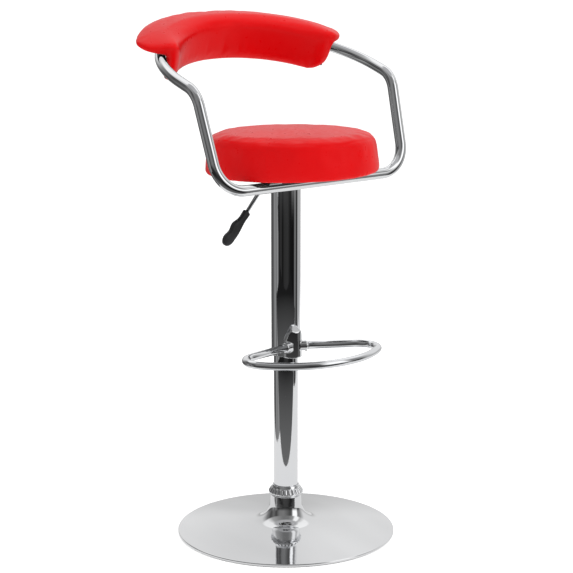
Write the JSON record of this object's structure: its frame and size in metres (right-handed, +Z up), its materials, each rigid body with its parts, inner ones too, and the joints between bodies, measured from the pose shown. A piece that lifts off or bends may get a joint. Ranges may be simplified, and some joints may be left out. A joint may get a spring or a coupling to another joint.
{
  "type": "adjustable swivel stool",
  "caption": "Bar-height swivel stool with a gas lift, round padded seat, tube arms, curved back pad, loop foot rest and round trumpet base.",
  "frame": {"origin": "on the column's axis at floor level", "axes": "+Z up along the column, the sitter faces -Y, +X to the sitter's left"},
  "size_m": [0.5324, 0.5319, 1.0615],
  "materials": {
    "chrome": "mirror-polished chrome plate",
    "steel": "zinc-plated, satin",
    "coated_steel": "black powder coat",
    "black_steel": "gloss black paint",
    "rubber": "matt",
    "nylon": "natural nylon",
    "black_plastic": "fine moulded texture",
    "plywood": "bare plywood",
    "red_vinyl": "smooth upholstery vinyl, soft sheen"
  },
  "bodies": {
    "base": {"base_disc": "chrome", "base_floor_ring": "rubber", "base_plate": "coated_steel", "base_hub": "coated_steel", "column_collar": "chrome", "lower_tube": "chrome", "tube_foot_plug": "steel", "cylinder_bushing": "nylon", "bearing_lower_race": "steel"},
    "bearing": {"bearing_cage": "nylon", "bearing_balls": "steel"},
    "spindle": {"bearing_upper_race": "steel", "piston_rod": "chrome", "rod_clip": "steel", "bump_stop": "rubber", "piston": "steel"},
    "seat": {"gas_cylinder": "black_steel", "rod_guide": "black_plastic", "upper_sleeve": "chrome", "sleeve_guide_ring": "black_plastic", "sleeve_top_cap": "nylon", "mechanism_hub": "coated_steel", "mechanism_plate": "coated_steel", "mechanism_bolts": "steel", "board_nuts": "steel", "lever_pivot_pin": "steel", "seat_board": "plywood", "seat_cushion": "red_vinyl", "arm_frame": "chrome", "frame_joint_sleeve": "steel", "frame_tabs": "steel", "frame_screws": "steel", "back_shell": "black_plastic", "back_pad": "red_vinyl", "back_clips": "steel", "back_screws": "steel", "footrest_bracket": "chrome", "footrest_ring": "chrome", "footrest_screws": "steel"},
    "lever": {"lever_rod": "chrome", "lever_grip": "black_plastic"},
    "valve": {"valve_pin": "steel"}
  },
  "joints": [
    {"name": "seat_swivel", "type": "hinge", "parent": "base", "child": "spindle", "pos_m": [0, 0, 0.04], "axis": [0, 0, 1], "continuous": true},
    {"name": "bearing_turn", "type": "hinge", "parent": "base", "child": "bearing", "pos_m": [0, 0, 0.0373], "axis": [0, 0, 1], "continuous": true},
    {"name": "seat_lift", "type": "slide", "parent": "spindle", "child": "seat", "axis": [0, 0, 1], "range_m": [-0.215, 0]},
    {"name": "lever_lift", "type": "hinge", "parent": "seat", "child": "lever", "pos_m": [-0.018, 0, 0.7505], "axis": [0, 1, 0], "range_deg": [0, 9], "stiffness_Nm_per_rad": 10, "springref_deg": -1.15},
    {"name": "valve_press", "type": "slide", "parent": "seat", "child": "valve", "axis": [0, 0, -1], "range_m": [0, 0.003]}
  ],
  "couplings": [
    {"joint": "bearing_turn", "follows": "seat_swivel", "ratio": 0.5},
    {"joint": "valve_press", "follows": "lever_lift", "m_per_rad": 0.019}
  ]
}
